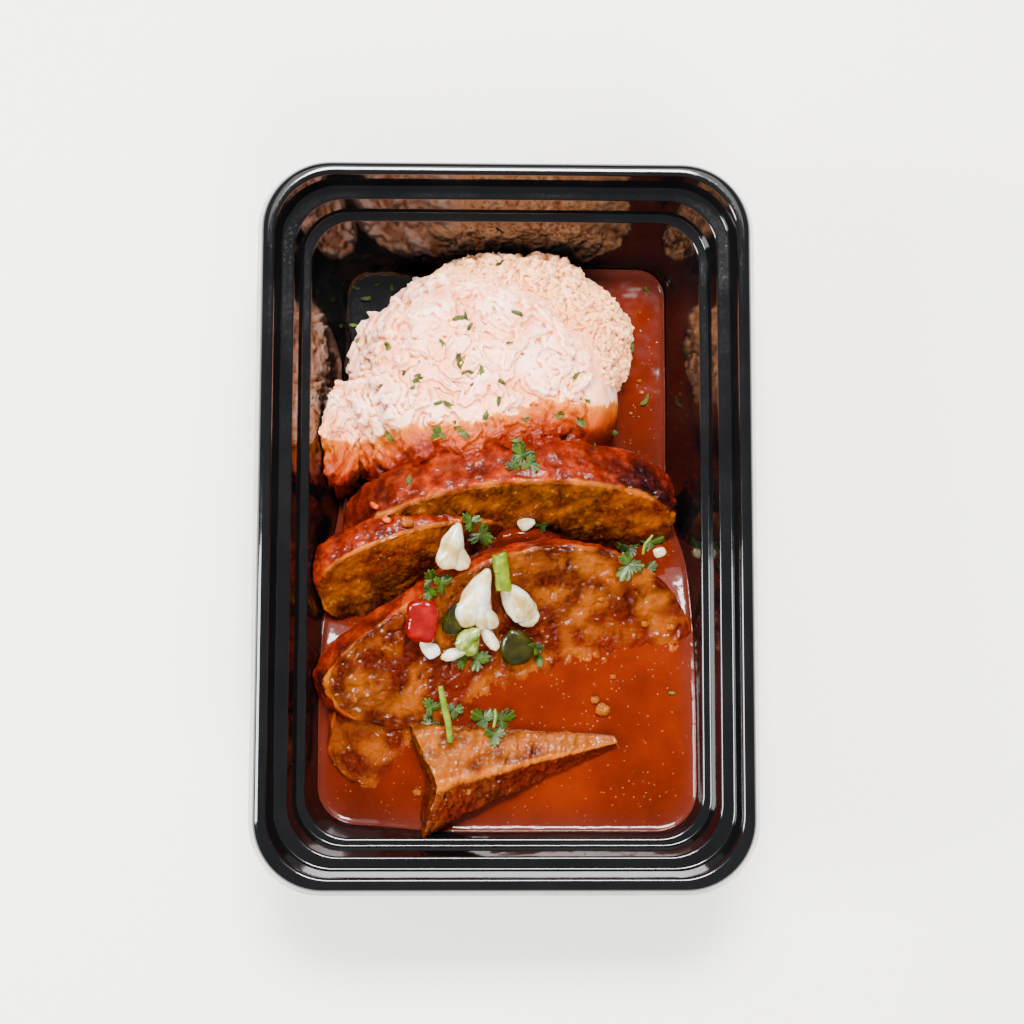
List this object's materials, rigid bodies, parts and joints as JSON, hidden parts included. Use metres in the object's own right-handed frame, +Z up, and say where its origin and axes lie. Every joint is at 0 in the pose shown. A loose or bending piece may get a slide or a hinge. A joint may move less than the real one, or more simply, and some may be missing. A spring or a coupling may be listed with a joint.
{
  "type": "meatloaf meal",
  "caption": "Sliced meatloaf in tomato gravy with mashed potato and a diced vegetable garnish, in a black rectangular meal-prep tray.",
  "frame": {"origin": "bottom centre of the tray, on the surface that it stands on", "axes": "+Z up, +Y along the tray's length towards the mashed potato, +X across the tray to the right of someone who looks along +Y"},
  "size_m": [0.1524, 0.2222, 0.057],
  "materials": {
    "black_polypropylene": "gloss",
    "tomato_gravy": "gloss",
    "meatloaf": "glazed",
    "mashed_potato": "moist matt",
    "coarse_mashed_potato": "moist matt",
    "tomato": "gloss",
    "green_pepper": "gloss",
    "scallion": "satin",
    "onion": "moist gloss",
    "young_onion": "moist gloss"
  },
  "bodies": {
    "root": {"tray": "black_polypropylene", "gravy": "tomato_gravy", "slice_back": "meatloaf", "slice_middle": "meatloaf", "slice_left": "meatloaf", "slice_lower": "meatloaf", "slice_front": "meatloaf", "mash_scoop": "mashed_potato", "mash_back": "coarse_mashed_potato", "mash_flake": "mashed_potato", "tomato_dice": "tomato", "pepper_small": "green_pepper", "pepper_large": "green_pepper", "scallion": "scallion", "onion_crest": "onion", "onion_long": "onion", "onion_right": "onion", "onion_thin": "onion", "onion_near": "onion", "onion_left": "onion", "onion_green": "young_onion"}
  },
  "joints": []
}
